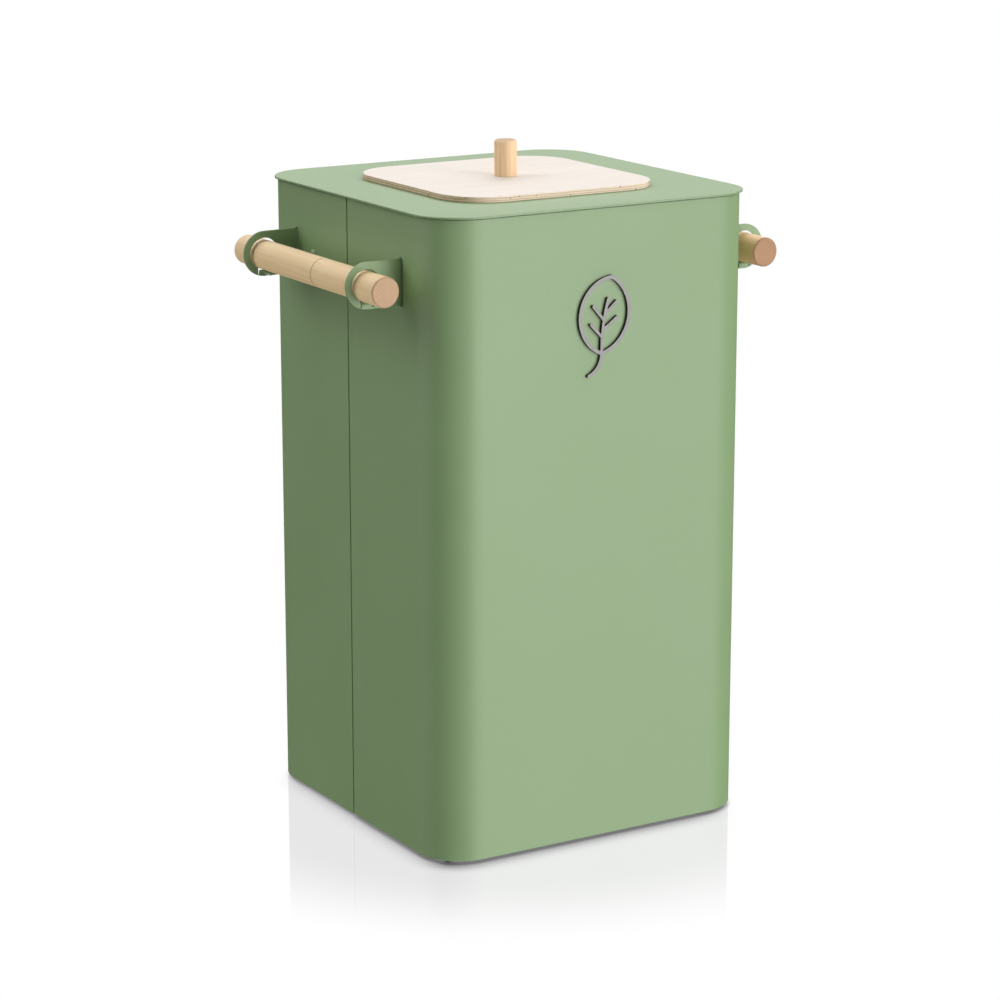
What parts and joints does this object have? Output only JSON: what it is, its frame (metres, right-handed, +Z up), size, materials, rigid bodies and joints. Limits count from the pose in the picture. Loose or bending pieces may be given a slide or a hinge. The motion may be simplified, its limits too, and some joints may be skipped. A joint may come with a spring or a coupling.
{
  "type": "recycling bin",
  "caption": "Square upright sheet-steel recycling bin: rear half with base and bag frame, pull-off front hood, lift-off plywood lid with knob, wooden side handles.",
  "frame": {"origin": "on the floor, at the middle of the bin's footprint", "axes": "+Z up; -Y the front, with the emblem; +X to the right of somebody who faces the front"},
  "size_m": [0.466, 0.356, 0.6595],
  "materials": {
    "green_powder_coat": "matte sage green powder coat on sheet steel",
    "turned_wood": "sanded, clear matte oil, pale turned dowel",
    "birch_plywood": "sanded pale birch face, matte clear lacquer, open ply edge",
    "steel_fasteners": "zinc plated",
    "magnet_nickel": "nickel plated",
    "foot_rubber": "moulded black rubber",
    "glide_plastic": "moulded black plastic",
    "frame_wire": "powder-coated wire",
    "emblem_metal": "satin grey cut plate, dark cut edges"
  },
  "bodies": {
    "rear_half": {"rear_shell": "green_powder_coat", "base_tray": "green_powder_coat", "base_feet": "foot_rubber", "foot_screws": "steel_fasteners", "seam_strips": "green_powder_coat", "rear_bracket_left": "green_powder_coat", "rear_bracket_right": "green_powder_coat", "rear_bracket_rivets": "green_powder_coat", "rear_dowel_left": "turned_wood", "rear_dowel_right": "turned_wood", "rear_dowel_screws": "steel_fasteners", "rear_dowel_magnets": "magnet_nickel", "bag_frame": "frame_wire", "bag_frame_cleats": "green_powder_coat", "cover_pads": "foot_rubber"},
    "hood": {"front_shell": "green_powder_coat", "top_cover": "green_powder_coat", "throat_collar": "green_powder_coat", "front_bracket_left": "green_powder_coat", "front_bracket_right": "green_powder_coat", "front_bracket_rivets": "green_powder_coat", "front_dowel_left": "turned_wood", "front_dowel_right": "turned_wood", "front_dowel_screws": "steel_fasteners", "front_dowel_magnets": "magnet_nickel", "hood_glides": "glide_plastic", "emblem_leaf": "emblem_metal", "emblem_nuts": "steel_fasteners"},
    "lid": {"lid_board": "birch_plywood", "lid_knob": "turned_wood", "lid_locator": "birch_plywood", "knob_screw": "steel_fasteners", "locator_screws": "steel_fasteners"}
  },
  "joints": [
    {"name": "hood_slide", "type": "slide", "parent": "rear_half", "child": "hood", "axis": [0, -1, 0], "range_m": [0, 0.36]},
    {"name": "lid_lift", "type": "slide", "parent": "hood", "child": "lid", "axis": [0, 0, 1], "range_m": [0, 0.12]}
  ]
}
